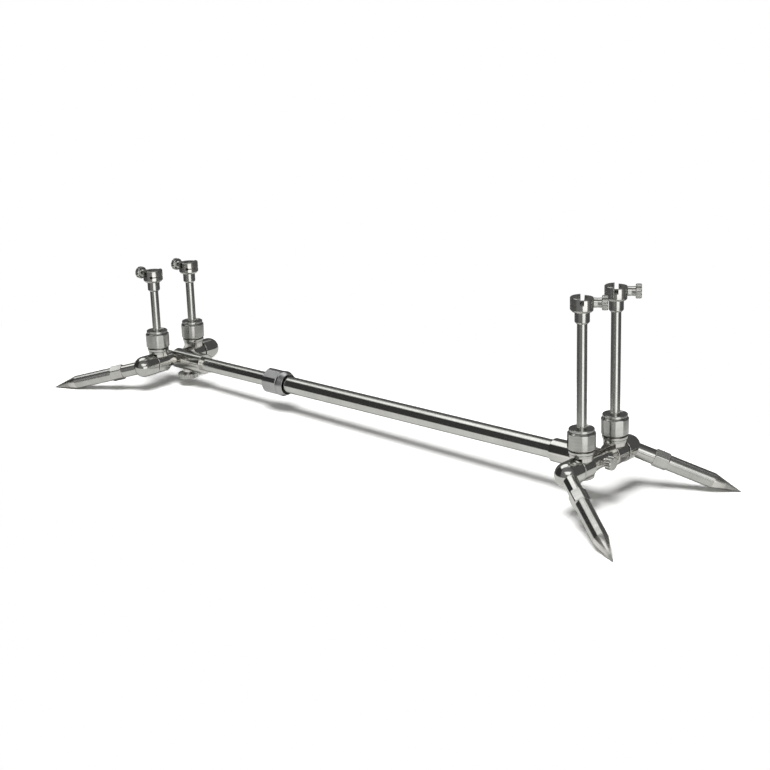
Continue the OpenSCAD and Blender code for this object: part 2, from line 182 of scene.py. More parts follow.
def outward(end):
    return 1 if end == "front" else -1


def hand(side):
    return 1 if side == "left" else -1


def at_end(end):
    """Frame of a cross bar, its own +X pointing outward."""
    return stance @ shift(outward(end) * WHEELBASE / 2, 0, 0) @ turn(0 if end == "front" else 180, "Z")


def at_upright(end, side):
    return stance @ shift(outward(end) * WHEELBASE / 2, hand(side) * ROD_SPACING / 2, 0)


def along_leg(end, side):
    """Frame of a leg, +Z from the dome's centre to the spike's point."""
    mirror = outward(end) * hand(side)
    dip = leg_dip[end] + math.radians(outward(end) * pitch)
    splay = math.radians(LEG_SPLAY)
    heading = math.degrees(math.atan2(math.sin(splay), math.cos(splay) * math.cos(dip)))
    drop = math.degrees(math.asin(math.cos(splay) * math.sin(dip)))
    return at_end(end) @ shift(0, mirror * DOME_Y, 0) @ turn(mirror * heading, "Z") @ turn(90 + drop, "Y")


def eased(points, radius, closed=False, steps=4):
    """Profile with its corners rounded, and a support point either side of each so that flats shade flat."""
    made = []
    count = len(points)
    for k, point in enumerate(points):
        b = Vector(point)
        if not closed and k in (0, count - 1):
            made.append(tuple(b))
            continue
        back = Vector(points[k - 1]) - b
        ahead = Vector(points[(k + 1) % count]) - b
        room = min(back.length, ahead.length)
        back.normalize()
        ahead.normalize()
        bend = math.pi - back.angle(ahead)
        if bend < math.radians(8):
            made.append(tuple(b))
            continue
        reach = min(radius * math.tan(bend / 2), 0.38 * room)
        support = min(0.5 * reach, 0.1 * room)
        start = b + back * reach
        stop = b + ahead * reach
        made.append(tuple(start + back * support))
        for s in range(steps + 1):
            t = s / steps
            made.append(tuple(start * (1 - t) ** 2 + b * 2 * t * (1 - t) + stop * t ** 2))
        made.append(tuple(stop + ahead * support))
    return made


def sliced(points, step, closed=False):
    """Profile with its sloped runs cut into short ones, so that a cap meets them in a clean line."""
    made = [points[0]]
    for a, b in zip(points, points[1:] + (points[:1] if closed else [])):
        sloped = abs(a[0] - b[0]) > 0.05 and abs(a[1] - b[1]) > 0.05
        runs = max(1, math.ceil(math.dist(a, b) / step)) if sloped else 1
        for s in range(1, runs + 1):
            t = s / runs
            made.append((a[0] + (b[0] - a[0]) * t, a[1] + (b[1] - a[1]) * t))
    return made[:-1] if closed else made


def finished_mesh(name, verts, faces):
    mesh = bpy.data.meshes.new(name)
    mesh.from_pydata(verts, [], faces)
    mesh.validate()
    return mesh


def spun(name, profile, cap=None, segments=128, closed=False):
    """Mesh turned about Z from (radius, height) points, held under cap(angle, height) where one is given."""
    verts = []
    rings = []
    for radius, height in profile:
        if radius < 1e-6:
            rings.append([len(verts)])
            verts.append((0, 0, height * MM))
            continue
        ring = []
        for i in range(segments):
            angle = 2 * math.pi * i / segments
            r = min(radius, cap(angle, height)) if cap else radius
            ring.append(len(verts))
            verts.append((r * math.cos(angle) * MM, r * math.sin(angle) * MM, height * MM))
        rings.append(ring)
    faces = []
    for low, high in zip(rings, rings[1:] + (rings[:1] if closed else [])):
        for i in range(segments):
            j = (i + 1) % segments
            if len(low) == 1:
                faces.append((low[0], high[j], high[i]))
            elif len(high) == 1:
                faces.append((low[i], low[j], high[0]))
            else:
                faces.append((low[i], low[j], high[j], high[i]))
    return finished_mesh(name, verts, faces)


def rod(name, radius, low, high, segments=128):
    """Plain cutter for round bores."""
    return spun(name, [(0, low), (radius, low), (radius, high), (0, high)], segments=segments)


def brick(name, low, high):
    """Box cutter between two corners."""
    verts = [(x * MM, y * MM, z * MM) for x in (low[0], high[0]) for y in (low[1], high[1])
             for z in (low[2], high[2])]
    faces = [(0, 1, 3, 2), (4, 6, 7, 5), (0, 4, 5, 1), (2, 3, 7, 6), (0, 2, 6, 4), (1, 5, 7, 3)]
    return finished_mesh(name, verts, faces)


def settled(blank):
    """Mesh of an object with its modifiers worked in; the object goes."""
    bpy.context.view_layer.update()
    graph = bpy.context.evaluated_depsgraph_get()
    made = bpy.data.meshes.new_from_object(blank.evaluated_get(graph))
    made.name = blank.data.name
    bpy.data.objects.remove(blank)
    return made


def shaded(mesh):
    """Copy with smooth faces and sharp edges, its normals led by the large faces so that flats stay even."""
    mesh = mesh.copy()
    mesh.polygons.foreach_set("use_smooth", [True] * len(mesh.polygons))
    mesh.set_sharp_from_angle(angle=math.radians(38))
    blank = bpy.data.objects.new("blank", mesh)
    bpy.context.scene.collection.objects.link(blank)
    even = blank.modifiers.new("even shading", "WEIGHTED_NORMAL")
    even.keep_sharp = True
    return settled(blank)


def carved(mesh, tools):
    """Mesh after each (operation, tool mesh, tool place)."""
    body = bpy.data.objects.new("blank", mesh)
    bpy.context.scene.collection.objects.link(body)
    cutters = []
    for operation, tool, place in tools:
        cutter = bpy.data.objects.new("cutter", tool)
        cutter.matrix_world = place
        bpy.context.scene.collection.objects.link(cutter)
        cutters.append(cutter)
        step = body.modifiers.new("cut", "BOOLEAN")
        step.operation = operation
        step.solver = "MANIFOLD"
        step.object = cutter
    made = settled(body)
    for cutter in cutters:
        bpy.data.objects.remove(cutter)
    return made


def six_flats(across):
    """Cap of a hexagon with corners at angle zero."""
    def cap(angle, height):
        return across / 2 / math.cos((angle % (math.pi / 3)) - math.pi / 6)
    return cap


def fluted(radius, flutes, flute_r, low, high):
    """Cap of a knob between two heights, with round grip flutes."""
    centre = radius + 0.45 * flute_r
    pitch_angle = 2 * math.pi / flutes

    def cap(angle, height):
        if not low <= height <= high:
            return radius
        off = (angle + pitch_angle / 2) % pitch_angle - pitch_angle / 2
        inside = flute_r ** 2 - (centre * math.sin(off)) ** 2
        if inside <= 0:
            return radius
        return min(radius, centre * math.cos(off) - math.sqrt(inside))
    return cap


def linear(code):
    """Linear colour from an sRGB hex value."""
    parts = [int(code[i:i + 2], 16) / 255 for i in (1, 3, 5)]
    return tuple(c / 12.92 if c <= 0.04045 else ((c + 0.055) / 1.055) ** 2.4 for c in parts) + (1,)


def node(tree, kind, sockets=None, **settings):
    """Add a node; sockets maps an input to a constant or to another node's output."""
    made = tree.nodes.new(kind)
    for key, value in settings.items():
        setattr(made, key, value)
    for key, value in (sockets or {}).items():
        if isinstance(value, bpy.types.NodeSocket):
            tree.links.new(value, made.inputs[key])
        else:
            made.inputs[key].default_value = value
    return made


def blank_material(name):
    material = bpy.data.materials.new(name)
    material.use_nodes = True
    material.node_tree.nodes.clear()
    return material, material.node_tree


def steel(name, colour, haze, rough, line_mm, line_depth_mm, drawn):
    """Steel finish with lines round the turning axis, hand smudges, and edges rubbed brighter.

    The lines draw reflections out along the axis, by the given share.
    """
    material, tree = blank_material(name)
    place = node(tree, "ShaderNodeTexCoord")
    stretch = node(tree, "ShaderNodeMapping", {"Vector": place.outputs["Object"],
                                               "Scale": (20, 20, 1 / (line_mm * MM))})
    lines = node(tree, "ShaderNodeTexNoise", {"Vector": stretch.outputs["Vector"], "Scale": 1.0,
                                              "Detail": 3.0, "Roughness": 0.65})
    smudge = node(tree, "ShaderNodeTexNoise", {"Vector": place.outputs["Object"], "Detail": 5.0,
                                               "Scale": 1 / (SMUDGE_MM * MM), "Roughness": 0.6})
    pits = node(tree, "ShaderNodeTexNoise", {"Vector": place.outputs["Object"], "Scale": 1 / (PIT_MM * MM),
                                             "Detail": 2.0})
    surface = node(tree, "ShaderNodeNewGeometry")
    worn = node(tree, "ShaderNodeMapRange", {"Value": surface.outputs["Pointiness"], "From Min": 0.51,
                                             "From Max": 0.58, "To Min": 0.0, "To Max": 0.6})
    hazed = node(tree, "ShaderNodeMapRange", {"Value": smudge.outputs["Fac"], "From Min": 0.35,
                                              "From Max": 0.75, "To Min": 0.0, "To Max": 1.0})
    body = node(tree, "ShaderNodeMix", {"Factor": hazed.outputs["Result"], "A": linear(colour),
                                        "B": linear(haze)}, data_type="RGBA")
    lined = node(tree, "ShaderNodeMix", {"Factor": lines.outputs["Fac"], "A": body.outputs["Result"],
                                         "B": linear("#E2E1DE")}, data_type="RGBA", blend_type="MULTIPLY")
    rubbed = node(tree, "ShaderNodeMix", {"Factor": worn.outputs["Result"], "A": lined.outputs["Result"],
                                          "B": linear("#F1EFE9")}, data_type="RGBA")
    fine = node(tree, "ShaderNodeMath", {0: lines.outputs["Fac"], 1: smudge.outputs["Fac"]},
                operation="MULTIPLY")
    rough_value = node(tree, "ShaderNodeMapRange", {"Value": fine.outputs["Value"], "From Min": 0.1,
                                                    "From Max": 0.45, "To Min": rough[0], "To Max": rough[1]})
    relief = node(tree, "ShaderNodeMath", {0: pits.outputs["Fac"], 1: 0.3, 2: lines.outputs["Fac"]},
                  operation="MULTIPLY_ADD")
    bump = node(tree, "ShaderNodeBump", {"Height": relief.outputs["Value"], "Strength": 1.0,
                                         "Distance": line_depth_mm * MM})
    round_axis = node(tree, "ShaderNodeTangent", direction_type="RADIAL", axis="Z")
    shader = node(tree, "ShaderNodeBsdfPrincipled", {"Base Color": rubbed.outputs["Result"], "Metallic": 1.0,
                                                     "Roughness": rough_value.outputs["Result"],
                                                     "Anisotropic": drawn, "Anisotropic Rotation": 0.25,
                                                     "Tangent": round_axis.outputs["Tangent"],
                                                     "Normal": bump.outputs["Normal"]})
    node(tree, "ShaderNodeOutputMaterial", {"Surface": shader.outputs["BSDF"]})
    return material


def moulded(name, colour, shade, rough, grain_mm):
    """Moulded plastic or blackened steel with a fine grain and slightly uneven colour."""
    material, tree = blank_material(name)
    place = node(tree, "ShaderNodeTexCoord")
    patch = node(tree, "ShaderNodeTexNoise", {"Vector": place.outputs["Object"], "Scale": 1 / (9 * MM),
                                              "Detail": 4.0})
    grain = node(tree, "ShaderNodeTexNoise", {"Vector": place.outputs["Object"], "Scale": 1 / (grain_mm * MM),
                                              "Detail": 2.0})
    body = node(tree, "ShaderNodeMix", {"Factor": patch.outputs["Fac"], "A": linear(colour),
                                        "B": linear(shade)}, data_type="RGBA")
    rough_value = node(tree, "ShaderNodeMapRange", {"Value": grain.outputs["Fac"], "From Min": 0.3,
                                                    "From Max": 0.7, "To Min": rough[0], "To Max": rough[1]})
    bump = node(tree, "ShaderNodeBump", {"Height": grain.outputs["Fac"], "Strength": 0.5,
                                         "Distance": 0.03 * MM})
    shader = node(tree, "ShaderNodeBsdfPrincipled", {"Base Color": body.outputs["Result"],
                                                     "Roughness": rough_value.outputs["Result"],
                                                     "Normal": bump.outputs["Normal"]})
    node(tree, "ShaderNodeOutputMaterial", {"Surface": shader.outputs["BSDF"]})
    return material


# Mirror polished stainless steel: long clear reflections, a little softened by polishing lines
# The lines are about 0.1 mm apart on the real tube, and are drawn at 1.6 mm so that they show
polished_steel = steel("mirror polished stainless steel", "#E1E1DE", "#CFCFCC", (0.14, 0.24), 1.6, 0.0012,
                       0.8)
# Lathe turned stainless steel: softer reflections, drawn across by the tool's rings
# The feed of the tool is about 0.2 mm, and is drawn at 1.0 mm so that it shows
turned_steel = steel("lathe turned stainless steel", "#DDDDDA", "#C5C5C2", (0.16, 0.28), 1.0, 0.003, 0.8)
# Bright stainless steel of the cross bars, nuts and knuckles: crisp highlights on a middle grey
# The grain is about 0.1 mm on the real pieces, and is drawn at 1.2 mm so that it shows
bright_steel = steel("bright stainless steel", "#DDDDDA", "#C8C8C5", (0.1, 0.18), 1.2, 0.001, 0.6)
# Satin stainless steel of the lock collar: an even grey sheen that sets it off from the bar
# The grain is about 0.1 mm on the real piece, and is drawn at 1.2 mm so that it shows
satin_steel = steel("satin stainless steel", "#C6C7C8", "#B2B3B5", (0.26, 0.36), 1.2, 0.0015, 0.3)
# Turned and polished stainless steel of the legs: streaks drawn out along the leg by fine rings
# The rings are about 0.1 mm apart on the real legs, and are drawn at 1.2 mm so that they show
leg_steel = steel("turned and polished stainless steel", "#DCDCD9", "#C8C8C5", (0.2, 0.3), 1.2, 0.002, 0.9)
# Moulded white nylon: milky, with a soft sheen
white_nylon = moulded("moulded white nylon", "#E4E2D9", "#D5D2C6", (0.38, 0.55), 0.8)
# Moulded black nylon: near black, with a soft sheen
black_nylon = moulded("moulded black nylon", "#1B1B1C", "#262627", (0.4, 0.6), 0.8)
# Blackened steel of the grub screws: dark grey, a dull gloss
black_steel = moulded("oil blackened steel", "#2C2B2A", "#3A3835", (0.32, 0.5), 0.6)


def dress(cad_node, mesh, place, material):
    """Put a finished mesh in place of its CAD node, on that node's body."""
    mesh = shaded(mesh)
    mesh.name = cad_node + "_steel"
    mesh.materials.clear()
    mesh.materials.append(material)
    piece = bpy.data.objects.new(cad_node + "_steel", mesh)
    piece.matrix_world = place
    bpy.context.scene.collection.objects.link(piece)
    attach(piece, frame["nodes"][cad_node]["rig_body"])
    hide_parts(cad_node)


# Main bar
def tube(name, radius, length):
    profile = [(radius, 0), (radius, length), (radius - TUBE_WALL, length), (radius - TUBE_WALL, 0)]
    return spun(name, eased(profile, 0.3, closed=True), closed=True)


outer_rear_x = OUTER_FRONT_X - OUTER_LEN
dress("outer_tube", tube("outer_tube", OUTER_R, OUTER_LEN), stance @ shift(outer_rear_x, 0, 0) @ ALONG_X,
      polished_steel)
dress("inner_tube", tube("inner_tube", INNER_R, INNER_LEN), stance @ shift(-OUTER_FRONT_X, 0, 0) @ ALONG_X,
      polished_steel)


def lock_collar():
    body = COLLAR_LEN - COLLAR_NOSE
    flats = six_flats(COLLAR_FLATS)

    def cap(angle, height):
        hexagon = flats(angle, height)
        if height < body - 3:
            return hexagon
        ring = COLLAR_FLATS / 2 - 0.7 + (height - body + 3) / 1.6 * (COLLAR_R - 0.3 - COLLAR_FLATS / 2 + 0.7)
        return max(ring, hexagon if height < body - 2.4 else 0)

    mouth = COLLAR_LEN - COLLAR_MOUTH_DEPTH
    profile = [(COLLAR_R - 1.6, 0), (COLLAR_R, 1.6), (COLLAR_R, body - 3), (COLLAR_R - 0.6, body - 2.4),
               (COLLAR_R - 0.3, body - 1.4), (COLLAR_R - 0.3, body), (COLLAR_MOUTH_R + 0.6, COLLAR_LEN),
               (COLLAR_MOUTH_R, COLLAR_LEN), (COLLAR_MOUTH_R, mouth), (OUTER_R + FIT, mouth),
               (OUTER_R + FIT, 4), (INNER_R + 0.4, 4), (INNER_R + 0.4, 0)]
    fine = sliced(eased(profile, 0.3, closed=True), 0.2, closed=True)
    return spun("lock_collar", fine, cap, HEX_SEGMENTS, closed=True)


dress("main_lock_collar", lock_collar(),
      stance @ shift(outer_rear_x - COLLAR_OVERHANG, 0, 0) @ ALONG_X @ turn(COLLAR_TURN, "Z"),
      satin_steel)


# Ends
def tee(end):
    tube_r = OUTER_R if end == "front" else INNER_R
    outside = [(0, 0), (TEE_R, 0), (TEE_R, TEE_LEN - 2), (0, TEE_LEN - 2)]
    sleeve = spun("tee", eased(outside, 0.6))
    boss = rod("boss", TEE_BOSS_R, -TEE_BOSS_DROP, -4)
    lie = shift(TEE_LEN, 0, 0)
    stand = turn(-90, "Y")
    tools = [
        ("UNION", boss, stand @ shift(TEE_LEN - TEE_SCREW_X, 0, 0)),
        ("DIFFERENCE", rod("socket", tube_r + FIT, -1, TEE_SOCKET), Matrix.Identity(4)),
        ("DIFFERENCE", rod("saddle", BAR_R + SEAT, -30, 30), stand @ lie @ ALONG_Y),
        ("DIFFERENCE", rod("draw bolt", CENTRE_SCREW_R + FIT, TEE_SOCKET - 1, TEE_LEN), Matrix.Identity(4)),
        ("DIFFERENCE", rod("screw", TEE_SCREW_R + FIT, -TEE_BOSS_DROP - 1, -1),
         stand @ shift(TEE_LEN - TEE_SCREW_X, 0, 0)),
    ]
    return carved(sleeve, tools)


def tee_screw(end):
    tube_r = OUTER_R if end == "front" else INNER_R
    neck = -TEE_BOSS_DROP - FACE - 1.8
    low = neck - TEE_KNOB_H
    profile = [(0, low), (TEE_KNOB_R - KNOB_BEVEL, low), (TEE_KNOB_R, low + KNOB_BEVEL),
               (TEE_KNOB_R, neck - KNOB_BEVEL), (TEE_KNOB_R - KNOB_BEVEL, neck),
               (TEE_SCREW_R + KNOB_FOOT, neck), (TEE_SCREW_R + KNOB_FOOT, neck + 1.8),
               (TEE_SCREW_R, neck + 1.8), (TEE_SCREW_R, -tube_r - 0.3), (0, -tube_r - 0.3)]
    fine = sliced(eased(profile, 0.25), 0.3)
    return spun("tee_screw", fine, fluted(TEE_KNOB_R, 16, 1.8, low, neck), 320)


def cross_bar():
    socket = BLOCK_OUT - SPIGOT_LEN - 0.5
    bore = SPIGOT_R + FIT
    profile = [(0, -socket), (bore, -socket), (bore, -BLOCK_OUT), (BAR_R, -BLOCK_OUT), (BAR_R, BLOCK_OUT),
               (bore, BLOCK_OUT), (bore, socket), (0, socket)]
    bar = spun("cross_bar", eased(profile, 0.3))
    return carved(bar, [("DIFFERENCE", rod("draw bolt", CENTRE_SCREW_R + 0.4, -12, 12), ALONG_X)])


def centre_knob():
    start = BAR_R + FACE
    low = start + 2.4
    high = low + CENTRE_KNOB_H
    profile = [(0, -CENTRE_FLOOR_X + 0.4), (CENTRE_SCREW_R, -CENTRE_FLOOR_X + 0.4), (CENTRE_SCREW_R, start),
               (CENTRE_SCREW_R + KNOB_FOOT, start), (CENTRE_SCREW_R + KNOB_FOOT, low),
               (CENTRE_KNOB_R - KNOB_BEVEL, low), (CENTRE_KNOB_R, low + KNOB_BEVEL),
               (CENTRE_KNOB_R, high - KNOB_BEVEL), (CENTRE_KNOB_R - KNOB_BEVEL, high), (0, high)]
    fine = sliced(eased(profile, 0.25), 0.3)
    return spun("centre_knob", fine, fluted(CENTRE_KNOB_R, 12, 1.2, low, high), 240)


for end in ENDS:
    end_frame = at_end(end)
    dress(end + "_tee", tee(end), end_frame @ shift(-TEE_LEN, 0, 0) @ ALONG_X, bright_steel)
    dress(end + "_tee_thumbscrew", tee_screw(end), end_frame @ shift(-TEE_SCREW_X, 0, 0), turned_steel)
    dress(end + "_cross_bar", cross_bar(), end_frame @ ALONG_Y, bright_steel)
    dress(end + "_centre_knob", centre_knob(), end_frame @ ALONG_X, turned_steel)


# Corners
def upright_block():
    half = BLOCK_W / 2
    outside = [(0, -half), (BLOCK_R, -half), (BLOCK_R, half), (0, half)]
    ring = spun("upright_block", eased(outside, 0.9))
    shelf = NUT_BOTTOM - FACE
    boss_low = KNUCKLE_R + 0.3
    stub_profile = [(0, 1), (STUB_R, 1), (STUB_R, boss_low), (BOSS_R, boss_low), (BOSS_R, shelf - 3.4),
                    (BOSS_R - 0.9, shelf - 3.4), (BOSS_R - 0.9, shelf - 2.7), (SHELF_R, shelf - 2.7),
                    (SHELF_R, shelf), (STUB_R, shelf), (STUB_R, STUB_TOP), (0, STUB_TOP)]
    stub = spun("stub", eased(stub_profile, 0.25))
    here = Matrix.Identity(4)
    wide = brick("boss width", (-20, -half, 0), (20, half, 20))
    foot = carved(rod("boss foot", BOSS_R - 0.4, BOSS_FOOT, boss_low + 0.5), [("INTERSECT", wide, here)])
    upright = turn(90, "X")
    tools = [
        ("UNION", stub, upright),
        ("UNION", foot, upright),
        ("DIFFERENCE", rod("bar bore", BAR_R + SEAT, -BLOCK_W, BLOCK_W), here),
        ("DIFFERENCE", rod("upright bore", UPRIGHT_R + FIT, UPRIGHT_FOOT - 0.4, STUB_TOP + 1), upright),
        ("DIFFERENCE", rod("grub bore", GRUB_R, -BLOCK_R - 1, -1), upright),
    ]
    return carved(ring, tools)


def lock_nut():
    body = NUT_H - NUT_RING_H - 2.2
    inner_top = NUT_H - 9
    clear = UPRIGHT_R + 0.4
    flats = six_flats(NUT_FLATS)

    def cap(angle, height):
        return flats(angle, height) if height < body + 1.75 else NUT_R

    profile = [(NUT_R - 2.6, 0), (NUT_R, 2.6), (NUT_R, body), (NUT_R - 1.7, body + 1.7),
               (NUT_RING_R - 1.3, body + 1.7), (NUT_RING_R - 1.3, body + 2.1), (NUT_RING_R, body + 2.4),
               (NUT_RING_R, NUT_H - 0.4), (NUT_RING_R - 0.4, NUT_H), (NUT_RING_R - 1.4, NUT_H),
               (NUT_RING_R - 2, NUT_H - 0.6), (clear, NUT_H - 0.6), (clear, inner_top + 6.8),
               (UPRIGHT_R + 2.2, inner_top + 6.8), (STUB_R + FIT, inner_top), (STUB_R + FIT, 0)]
    fine = sliced(eased(profile, 0.3, closed=True), 0.2, closed=True)
    return spun("lock_nut", fine, cap, HEX_SEGMENTS, closed=True)


def upright(end):
    top = HEAD_Z[end] + SLEEVE_H + 0.8
    profile = [(0, UPRIGHT_FOOT), (UPRIGHT_R, UPRIGHT_FOOT), (UPRIGHT_R, top), (0, top)]
    return spun("upright", eased(profile, 0.6))


def head():
    low_jaw = HEAD_TOP - JAW_STEP
    floor = HEAD_TOP - SLOT_DEPTH
    out = HEAD_R + 2
    outside = [(0, 0), (SLEEVE_R - 1.6, 0), (SLEEVE_R, 1.8), (SLEEVE_R, SLEEVE_H - 0.3),
               (SLEEVE_R - 0.4, SLEEVE_H), (HEAD_R - 2.2, SLEEVE_H), (HEAD_R, SLEEVE_H + 2.4),
               (HEAD_R, HEAD_TOP - 0.6), (HEAD_R - 0.6, HEAD_TOP), (0, HEAD_TOP)]
    block = spun("head", eased(outside, 0.25))
    slope = [(HEAD_R + 2, low_jaw - 3), (HEAD_R + 2, low_jaw + 2), (HEAD_R - 3, low_jaw + 2)]
    screw_half = brick("screw half", (1, -20, 0), (20, 20, 40))
    here = Matrix.Identity(4)
    chamfer = carved(spun("chamfer", slope, closed=True), [("INTERSECT", screw_half, here)])
    pin_x = -POST_R - PIN_WALL
    tools = [
        ("DIFFERENCE", brick("slot", (-SLOT_W / 2, -out, floor), (SLOT_W / 2, out, HEAD_TOP + 2)), here),
        ("DIFFERENCE", brick("low jaw", (1.5, -out, low_jaw), (out, out, HEAD_TOP + 2.2)), here),
        ("DIFFERENCE", chamfer, here),
        ("DIFFERENCE", rod("post socket", POST_R, HEAD_TOP - POST_DEPTH, HEAD_TOP + 3), here),
        ("DIFFERENCE", rod("upright bore", UPRIGHT_R + FIT, -1, SLEEVE_H + 1), here),
        ("DIFFERENCE", brick("flat", (HEAD_R - HEAD_FLAT, -out - 1, -1), (out + 1, out + 1, HEAD_TOP + 2.5)),
         here),
        ("DIFFERENCE", rod("screw bore", HEAD_SCREW_R + FIT, 0, HEAD_R + 3),
         shift(0, 0, HEAD_SCREW_Z) @ ALONG_X),
        ("DIFFERENCE", rod("pin bore", PIN_R, -20, 20, 64), shift(pin_x, 0, SLIT_Z) @ ALONG_Y),
        ("DIFFERENCE", brick("slit", (-out, -out, SLIT_Z - SLIT_HALF), (pin_x, out, SLIT_Z + SLIT_HALF)),
         here),
    ]
    return carved(block, tools)


def head_screw():
    tip = POST_R + 0.35
    flat = HEAD_R - HEAD_FLAT + FACE
    knob = HEAD_KNOB_REACH - HEAD_KNOB_H
    neck = HEAD_STEM_R
    profile = [(0, tip), (HEAD_SCREW_R, tip), (HEAD_SCREW_R, flat), (neck - 0.4, flat), (neck, flat + 0.4),
               (neck - 0.3, (flat + knob) / 2), (neck, knob), (HEAD_KNOB_R - KNOB_BEVEL, knob),
               (HEAD_KNOB_R, knob + KNOB_BEVEL), (HEAD_KNOB_R, HEAD_KNOB_REACH - KNOB_BEVEL),
               (HEAD_KNOB_R - KNOB_BEVEL, HEAD_KNOB_REACH), (0, HEAD_KNOB_REACH)]
    fine = sliced(eased(profile, 0.25), 0.3)
    return spun("head_screw", fine, fluted(HEAD_KNOB_R, 12, 1.2, knob, HEAD_KNOB_REACH), 312)


def knuckle(leg_from_knuckle):
    """Domed end on its spigot, bored for the leg's neck."""
    dome = [(KNUCKLE_R * math.cos(math.radians(a)), DOME_Y + KNUCKLE_R * math.sin(math.radians(a)))
            for a in range(0, 90, 2)] + [(0, DOME_Y + KNUCKLE_R)]
    start = BLOCK_OUT - SPIGOT_LEN
    profile = [(0, start), (SPIGOT_R, start), (SPIGOT_R, KNUCKLE_IN), (KNUCKLE_R, KNUCKLE_IN)] + dome
    body = spun("knuckle", eased(profile, 0.7))
    tools = [("DIFFERENCE", rod("stud bore", STUD_R + SEAT, 3, NECK_SEAT + 1), leg_from_knuckle),
             ("DIFFERENCE", rod("neck bore", NECK_R + SEAT, NECK_SEAT, 25), leg_from_knuckle)]
    return carved(body, tools)


def leg_neck():
    stud_end = HEX_START + HEX_LEN - 2
    profile = [(0, 3.2), (STUD_R, 3.2), (STUD_R, NECK_SEAT), (NECK_R, NECK_SEAT),
               (NECK_R, HEX_START), (STUD_R, HEX_START), (STUD_R, stud_end), (0, stud_end)]
    return spun("leg_neck", eased(profile, 0.25))


def spike():
    corner = HEX_FLATS / 2 / math.cos(math.pi / 6)
    hex_end = HEX_START + HEX_LEN
    flats = six_flats(HEX_FLATS)
    bore = STUD_R + SEAT

    def cap(angle, height):
        return flats(angle, height) if height < hex_end else corner

    profile = [(0, hex_end - 1), (bore, hex_end - 1), (bore, HEX_START), (corner - 1, HEX_START),
               (corner - 0.3, HEX_START + 0.7), (corner - 0.3, hex_end - 1.5), (SPIKE_R, hex_end - 0.2),
               (SPIKE_R, LEG_LEN - POINT_LEN), (0, LEG_LEN)]
    fine = sliced(eased(profile, 0.25)[:-1], 0.25) + [(0, LEG_LEN)]
    return spun("spike", fine, cap, HEX_SEGMENTS)


block_mesh = upright_block()
nut_mesh = lock_nut()
head_mesh = head()
head_screw_mesh = head_screw()
neck_mesh = leg_neck()
spike_mesh = spike()

for end in ENDS:
    upright_mesh = upright(end)
    for side in SIDES:
        corner_name = end + "_" + side + "_"
        post = at_upright(end, side)
        leg = along_leg(end, side)
        mirror = outward(end) * hand(side)
        knuckle_place = at_end(end) @ turn(-90 * mirror, "X")
        head_place = post @ shift(0, 0, HEAD_Z[end]) @ turn(HEAD_YAW[end], "Z")
        dress(corner_name + "upright_block", block_mesh, post @ ALONG_Y, bright_steel)
        nut_place = post @ shift(0, 0, NUT_BOTTOM) @ turn(NUT_TURN[end, side], "Z")
        dress(corner_name + "lock_nut", nut_mesh, nut_place, turned_steel)
        dress(corner_name + "upright", upright_mesh, post, polished_steel)
        dress(corner_name + "head", head_mesh, head_place, turned_steel)
        dress(corner_name + "head_thumbscrew", head_screw_mesh,
              head_place @ shift(0, 0, HEAD_SCREW_Z) @ ALONG_X, turned_steel)
        dress(corner_name + "knuckle", knuckle(knuckle_place.inverted() @ leg), knuckle_place, bright_steel)
        dress(corner_name + "leg_neck", neck_mesh, leg, bright_steel)
        dress(corner_name + "spike", spike_mesh, leg, leg_steel)

# Small pieces that keep their own solids
for cad_node, cad_object in frame["nodes"].items():
    for word, material in (("collet", white_nylon), ("bush", black_nylon), ("washers", black_nylon),
                           ("grub", black_steel)):
        if word in cad_node:
            cad_object.data.materials.clear()
            cad_object.data.materials.append(material)


# Floor, light and camera, in metres and watts
FLOOR_HALF = 6.0
MIRRORED_FLOOR = (0.2, 0.34)
SHADOW_FLOOR = (0.55, 0.26)
LAMP_AT = Vector((0.3, -0.62, 1.75))
LAMP_WATTS = 33
LAMP_SIZE = 1.0
SIDE_PANEL_AZIMUTH = math.radians(-28)
OVERHEAD_TURN = math.radians(42)
PANEL_EXTRA = 0.5
# Where a panel's edges fade in and out, as reach over height: across the view, then away from the camera
OVERHEAD_ACROSS = ((-0.95, -0.8), (0.45, 0.2))
OVERHEAD_AWAY = ((0.0, 0.15), (0.92, 0.82))
FRONT_ACROSS = ((-0.75, -0.6), (0.95, 0.8))
FRONT_AWAY = ((-2.9, -2.4), (-0.8, -1.0))
CAMERA_LENS = 74.659
CAMERA_PLACE = Matrix(((0.742412, -0.190665, 0.64224, 1.19276),
                       (0.669743, 0.234727, -0.70452, -1.26853),
                       (-0.016424, 0.953179, 0.30196, 0.61066),
                       (0, 0, 0, 1)))


def faded(tree, value, start, stop):
    """Soft step of a value from nothing at start to all at stop."""
    return node(tree, "ShaderNodeMapRange", {"Value": value, "From Min": start, "From Max": stop},
                interpolation_type="SMOOTHSTEP").outputs["Result"]


def reckoned(tree, operation, first, second):
    return node(tree, "ShaderNodeMath", {0: first, 1: second}, operation=operation).outputs["Value"]


def between(tree, value, rise, fall):
    """Soft band of a value, full after its rise and up to its fall."""
    return reckoned(tree, "MULTIPLY", faded(tree, value, *rise), faded(tree, value, *fall))


def along(tree, way, heading):
    """Reach of a direction along a heading in plan."""
    return node(tree, "ShaderNodeVectorMath", {0: way, 1: (math.cos(heading), math.sin(heading), 0)},
                operation="DOT_PRODUCT").outputs["Value"]


floor_corners = [(x * FLOOR_HALF, y * FLOOR_HALF, 0) for x, y in ((-1, -1), (1, -1), (1, 1), (-1, 1))]
floor_mesh = finished_mesh("floor", floor_corners, [(0, 1, 2, 3)])
floor = bpy.data.objects.new("floor", floor_mesh)
bpy.context.scene.collection.objects.link(floor)
